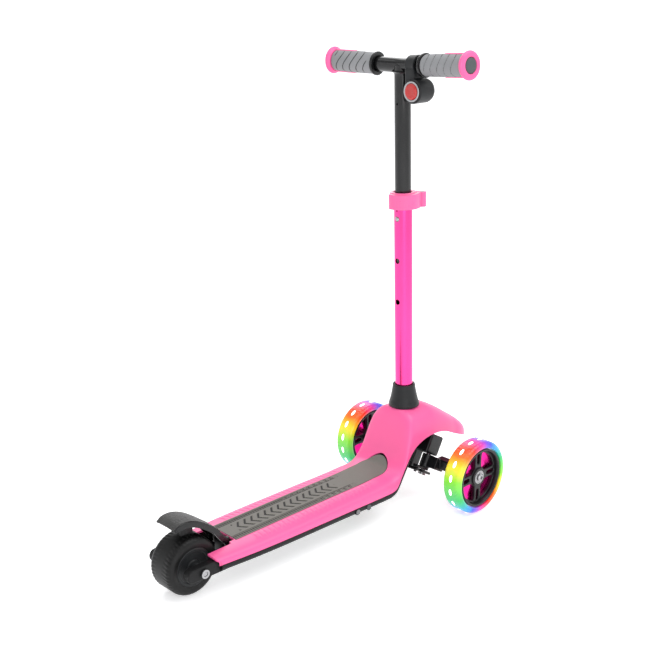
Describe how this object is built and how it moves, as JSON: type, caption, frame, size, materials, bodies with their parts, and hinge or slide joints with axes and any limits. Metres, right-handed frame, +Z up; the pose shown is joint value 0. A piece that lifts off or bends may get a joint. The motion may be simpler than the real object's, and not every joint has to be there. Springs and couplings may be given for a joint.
{
  "type": "three-wheeled electric kick scooter",
  "caption": "Small child's lean-to-steer scooter with two lit front wheels, one driven rear wheel under a brake mudguard, a padded deck and a height-adjustable T-bar with a thumb throttle.",
  "frame": {"origin": "on the floor, at the centre of the scooter's footprint", "axes": "+Z up, -Y the way the scooter travels, +X the rider's left"},
  "size_m": [0.2804, 0.633, 0.7275],
  "materials": {
    "pink_plastic": "satin moulded plastic, pink",
    "black_plastic": "fine-textured moulded plastic, black",
    "charcoal_plastic": "fine-textured moulded plastic, charcoal",
    "grey_rubber": "soft matt rubber, mid grey",
    "pad_rubber": "grooved anti-slip rubber, warm grey",
    "anodised_pink": "anodised aluminium, magenta pink",
    "black_metal": "gloss black coating over aluminium",
    "black_frame": "glass-filled nylon, black",
    "steel": "zinc-plated steel",
    "clear_tyre": "translucent polyurethane lit from inside in rainbow bands",
    "black_rubber": "black rubber",
    "red_plastic": "red moulded plastic",
    "light_strip": "white diffuser over a row of lights",
    "battery_wrap": "shrink-wrapped battery pack",
    "circuit": "potted circuit board"
  },
  "bodies": {
    "frame": {"deck_shell": "pink_plastic", "grip_pad": "pad_rubber", "chassis_tray": "black_plastic", "front_frame": "black_frame", "battery_cover": "charcoal_plastic", "cover_screw_1": "steel", "cover_screw_2": "steel", "cover_screw_3": "steel", "cover_screw_4": "steel", "battery_pack": "battery_wrap", "motor_controller": "circuit", "power_bezel": "black_plastic", "charge_port_cap": "black_rubber", "stem_collar": "charcoal_plastic", "lower_tube": "anodised_pink", "clamp_collar": "pink_plastic", "clamp_bolt": "steel", "lever_pin": "steel", "kingpin_left": "steel", "kingpin_right": "steel", "rear_axle_bolt": "steel", "rear_axle_nut": "steel", "fender_pin": "steel"},
    "handlebar": {"t_bar": "black_metal", "pop_clip": "steel", "grip_left": "grey_rubber", "grip_right": "grey_rubber", "grip_collar_left": "black_rubber", "grip_collar_right": "black_rubber", "grip_flange_left": "pink_plastic", "grip_flange_right": "pink_plastic", "grip_cap_left": "grey_rubber", "grip_cap_right": "grey_rubber", "throttle_housing": "charcoal_plastic", "throttle_ring": "steel"},
    "height_button": {"pop_button": "steel"},
    "throttle": {"throttle_button": "red_plastic"},
    "power_switch": {"power_button": "grey_rubber"},
    "quick_lever": {"clamp_lever": "pink_plastic"},
    "steer_arm_left": {"knuckle_left": "black_metal", "front_axle_bolt_left": "steel"},
    "steer_arm_right": {"knuckle_right": "black_metal", "front_axle_bolt_right": "steel"},
    "tie_link": {"tie_rod": "black_metal"},
    "front_wheel_left": {"front_tyre_left": "clear_tyre", "wheel_rim_left": "black_plastic", "rim_insert_left": "anodised_pink", "light_ring_left": "light_strip", "wheel_bearing_left": "steel"},
    "front_wheel_right": {"front_tyre_right": "clear_tyre", "wheel_rim_right": "black_plastic", "rim_insert_right": "anodised_pink", "light_ring_right": "light_strip", "wheel_bearing_right": "steel"},
    "rear_wheel": {"rear_tyre": "black_rubber", "hub_motor": "charcoal_plastic"},
    "brake": {"brake_fender": "charcoal_plastic", "brake_block": "black_rubber"}
  },
  "joints": [
    {"name": "bar_height", "type": "slide", "parent": "frame", "child": "handlebar", "axis": [0, 0.0349, 0.9994], "range_m": [-0.134, 0], "deforming": ["pop_button"]},
    {"name": "height_button_press", "type": "slide", "parent": "handlebar", "child": "height_button", "axis": [0, -0.9994, 0.0349], "range_m": [0, 0.0032], "stiffness_N_per_m": 900, "springref_m": -0.002, "deforming": ["pop_clip"]},
    {"name": "throttle_press", "type": "slide", "parent": "handlebar", "child": "throttle", "axis": [0, -0.9994, 0.0349], "range_m": [0, 0.003], "stiffness_N_per_m": 700, "springref_m": -0.0015},
    {"name": "power_press", "type": "slide", "parent": "frame", "child": "power_switch", "axis": [1, 0, 0], "range_m": [0, 0.0012], "stiffness_N_per_m": 900, "springref_m": -0.001},
    {"name": "lever_swing", "type": "hinge", "parent": "frame", "child": "quick_lever", "pos_m": [-0.0182, -0.19061, 0.50086], "axis": [0, 0.0349, 0.9994], "range_deg": [0, 90]},
    {"name": "steer_left", "type": "hinge", "parent": "frame", "child": "steer_arm_left", "pos_m": [0.03, -0.2045, 0.062], "axis": [0, -0.4848, 0.8746], "range_deg": [-15, 15], "stiffness_Nm_per_rad": 3},
    {"name": "steer_right", "type": "hinge", "parent": "frame", "child": "steer_arm_right", "pos_m": [-0.03, -0.2045, 0.062], "axis": [0, -0.4848, 0.8746], "range_deg": [-15, 15], "stiffness_Nm_per_rad": 3},
    {"name": "tie_rod_pivot", "type": "hinge", "parent": "steer_arm_left", "child": "tie_link", "pos_m": [0.03, -0.17765, 0.05482], "axis": [0, -0.4848, 0.8746], "range_deg": [-15, 15]},
    {"name": "front_wheel_left_spin", "type": "hinge", "parent": "steer_arm_left", "child": "front_wheel_left", "pos_m": [0.121, -0.2165, 0.0605], "axis": [1, 0, 0], "continuous": true},
    {"name": "front_wheel_right_spin", "type": "hinge", "parent": "steer_arm_right", "child": "front_wheel_right", "pos_m": [-0.121, -0.2165, 0.0605], "axis": [1, 0, 0], "continuous": true},
    {"name": "rear_wheel_spin", "type": "hinge", "parent": "frame", "child": "rear_wheel", "pos_m": [0, 0.2735, 0.043], "axis": [1, 0, 0], "continuous": true},
    {"name": "brake_press", "type": "hinge", "parent": "frame", "child": "brake", "pos_m": [0, 0.2075, 0.049], "axis": [-1, 0, 0], "range_deg": [0, 3.2], "stiffness_Nm_per_rad": 4, "springref_deg": -2.29}
  ],
  "couplings": [
    {"joint": "steer_right", "follows": "steer_left", "ratio": 1},
    {"joint": "tie_rod_pivot", "follows": "steer_left", "ratio": -1}
  ]
}
